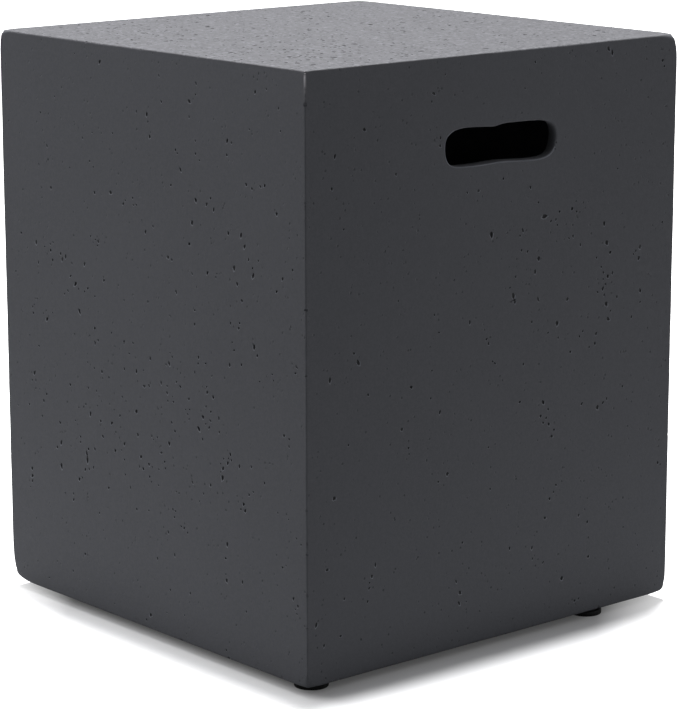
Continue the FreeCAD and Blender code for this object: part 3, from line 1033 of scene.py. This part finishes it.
steel = steel_material()
nylon = nylon_material()
for foot in FEET:
    make_stud(foot).data.materials.append(steel)
    make_pad(foot).data.materials.append(nylon)
    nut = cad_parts[foot + "_nut"]
    nut.data.materials.clear()
    nut.data.materials.append(steel)


# The studio

FLOOR_REACH = 6.0
# The floor as the camera sees it: its colour, and how much painted light lifts it towards white, so that
# the shadow stays soft. Distances are in metres from the outside of the walls: where the painted light
# starts under the rim and is full outside it, and where it fades to plain white.
FLOOR_SEEN = (0.68, 0.68, 0.69, 1)
LIFT_REACH, LIFT = (-0.037, 0.03), (0.03, 0.12)
FLOOR_FADE = (0.12, 0.34)
# how much more painted light lies before the front wall, and where that starts and is full
FRONT_REACH, FRONT_LIFT = (-0.02, 0.03), 0.28
# and more painted light off the corners left and right in the picture, by the size of x + y
CORNER_REACH, CORNER_LIFT = (0.33, 0.42), 0.55
# The floor as it lights the object: a painted pool of light, its grey near the walls and far from them, and
# how far that is
BOUNCE_NEAR, BOUNCE_FAR, BOUNCE_REACH = 0.38, 0.11, 0.7
# before the near corner painted shade turns it to the far grey: how much, and where, by x - y
AHEAD_SHARE, AHEAD_REACH = 0.75, (0.42, 0.62)
# its grey in the object's sheen, where the key lights it to about plain white
FLOOR_MIRRORED = 0.35
# the soft light from all round, which only the object sees
SOFT_COLOUR, SOFT_STRENGTH = (0.95, 0.98, 1.1, 1), 0.05
# what the side lamps point at
OBJECT_MIDDLE = (0, 0, 0.25)
# the photograph's standpoint: place, then azimuth, elevation and roll in degrees, then the lens
CAMERA_PLACE = (1.9139, -1.6295, 0.7668)
CAMERA_ANGLES = (49.52, 12.26, -0.11)
CAMERA_LENS = 146.7


def add_lamp(lamp, towards, place=(0, 0, 0)):
    """Puts a lamp in the scene, shining away from the direction towards it."""
    holder = bpy.data.objects.new(lamp.name, lamp)
    holder.location = place
    holder.rotation_euler = Vector(towards).to_track_quat("Z", "Y").to_euler()
    bpy.context.scene.collection.objects.link(holder)


def area_light(name, place, target, size, power):
    """A square soft box."""
    lamp = bpy.data.lights.new(name, "AREA")
    lamp.shape = "SQUARE"
    lamp.size = size
    lamp.energy = power
    add_lamp(lamp, Vector(place) - Vector(target), place)


def far_light(name, towards, spread, strength):
    """A soft lamp so high up that its light is parallel, given by the direction towards it."""
    lamp = bpy.data.lights.new(name, "SUN")
    lamp.angle = math.radians(spread)
    lamp.energy = strength
    add_lamp(lamp, towards)


def plain(level):
    return (level, level, level, 1)


def floor_colour(nodes, away, forward, seen, mirrored):
    """One colour for the camera, one for the object's sheen, and a grey that lights the object, painted as a
    pool of light round the walls with painted shade before the near corner.
    """
    fade = nodes.ramp(away, 0.0, BOUNCE_REACH, 0.0, 1.0)
    colour = nodes.blend(fade, plain(BOUNCE_NEAR), plain(BOUNCE_FAR))
    ahead = nodes.ramp(forward, *AHEAD_REACH, 0.0, AHEAD_SHARE)
    colour = nodes.blend(ahead, colour, plain(BOUNCE_FAR))
    colour = nodes.blend(mirrored, colour, plain(FLOOR_MIRRORED))
    return nodes.blend(seen, colour, FLOOR_SEEN)


def painted_floor_light(nodes, away, place):
    """How much painted light, and far off plain white, the camera sees on the floor besides its colour."""
    near = nodes.ramp(away, *LIFT_REACH, *LIFT)
    before_front = nodes.math("SUBTRACT", nodes.product(place["Y"], -1.0), HALF)
    near = nodes.math("ADD", near, nodes.ramp(before_front, *FRONT_REACH, 0.0, FRONT_LIFT))
    sideways = nodes.math("ABSOLUTE", nodes.math("ADD", place["X"], place["Y"]))
    near = nodes.math("ADD", near, nodes.ramp(sideways, *CORNER_REACH, 0.0, CORNER_LIFT))
    return nodes.math("MAXIMUM", near, nodes.ramp(away, *FLOOR_FADE, 0.0, 1.0))


def make_floor():
    """A pale floor that the camera sees as white, with the object's soft shadow on it, lightened by painted
    light near the walls.
    """
    verts = [(x * FLOOR_REACH, y * FLOOR_REACH, 0) for x, y in ((-1, -1), (1, -1), (1, 1), (-1, 1))]
    floor = new_object("studio_floor", verts, [(0, 1, 2, 3)])
    nodes = Nodes("studio_floor")
    path = nodes.add("LightPath", {}).outputs
    seen = nodes.math("MAXIMUM", path["Is Camera Ray"], path["Is Transmission Ray"])
    mirrored = path["Is Glossy Ray"]
    nodes.shader.inputs["Roughness"].default_value = 0.9
    nodes.shader.inputs["Specular IOR Level"].default_value = 0.0
    nodes.shader.inputs["Emission Color"].default_value = plain(1.0)
    place = nodes.split()
    across, along = (nodes.math("ABSOLUTE", place[axis]) for axis in "XY")
    away = nodes.math("SUBTRACT", nodes.math("MAXIMUM", across, along), HALF)
    forward = nodes.math("SUBTRACT", place["X"], place["Y"])
    nodes.link(floor_colour(nodes, away, forward, seen, mirrored), "Base Color")
    # painted light on the floor, for the camera and the object's sheen
    painted_light = painted_floor_light(nodes, away, place)
    nodes.link(nodes.product(nodes.math("MAXIMUM", seen, mirrored), painted_light), "Emission Strength")
    floor.data.materials.append(nodes.material)


def make_world():
    """Soft grey light on the object, and plain white where the camera or a reflection sees past it."""
    world = bpy.data.worlds.new("studio")
    bpy.context.scene.world = world
    world.use_nodes = True
    tree = world.node_tree
    path = tree.nodes.new("ShaderNodeLightPath").outputs
    seen = path["Is Camera Ray"]
    for kind in ("Is Glossy Ray", "Is Transmission Ray"):
        either = tree.nodes.new("ShaderNodeMath")
        either.operation = "MAXIMUM"
        tree.links.new(seen, either.inputs[0])
        tree.links.new(path[kind], either.inputs[1])
        seen = either.outputs[0]
    soft = tree.nodes["Background"]
    soft.inputs["Color"].default_value = SOFT_COLOUR
    soft.inputs["Strength"].default_value = SOFT_STRENGTH
    white = tree.nodes.new("ShaderNodeBackground")
    white.inputs["Color"].default_value = plain(1)
    white.inputs["Strength"].default_value = 1.0
    mix = tree.nodes.new("ShaderNodeMixShader")
    tree.links.new(seen, mix.inputs["Fac"])
    tree.links.new(soft.outputs[0], mix.inputs[1])
    tree.links.new(white.outputs[0], mix.inputs[2])
    tree.links.new(mix.outputs[0], tree.nodes["World Output"].inputs["Surface"])


def make_camera():
    """The photograph's standpoint: low, looking across the corner between front and right."""
    lens = bpy.data.cameras.new("camera")
    lens.lens = CAMERA_LENS
    lens.sensor_width = 36.0
    lens.clip_end = 30.0
    camera = bpy.data.objects.new("camera", lens)
    azimuth, elevation, roll = (math.radians(a) for a in CAMERA_ANGLES)
    flat = math.cos(elevation)
    back = Vector((math.sin(azimuth) * flat, -math.cos(azimuth) * flat, math.sin(elevation)))
    aim = (-back).to_track_quat("-Z", "Y").to_matrix() @ Matrix.Rotation(roll, 3, "Z")
    camera.matrix_world = Matrix.Translation(CAMERA_PLACE) @ aim.to_4x4()
    bpy.context.scene.collection.objects.link(camera)
    bpy.context.scene.camera = camera


make_floor()
make_world()
far_light("key", (-0.036, 0.036, 0.508), 6.0, 6.4)
area_light("overhead", (-0.4, -0.5, 2.2), (-0.4, -0.5, 0), 1.1, 22)
area_light("left_high", (-0.8, -1.9, 2.0), OBJECT_MIDDLE, 1.2, 17)
area_light("right_high", (1.9, 0.8, 2.0), OBJECT_MIDDLE, 1.2, 7)
area_light("right_fill", (2.4, 0.9, 1.0), OBJECT_MIDDLE, 1.6, 2)
make_camera()
bpy.context.scene.view_settings.view_transform = "Standard"
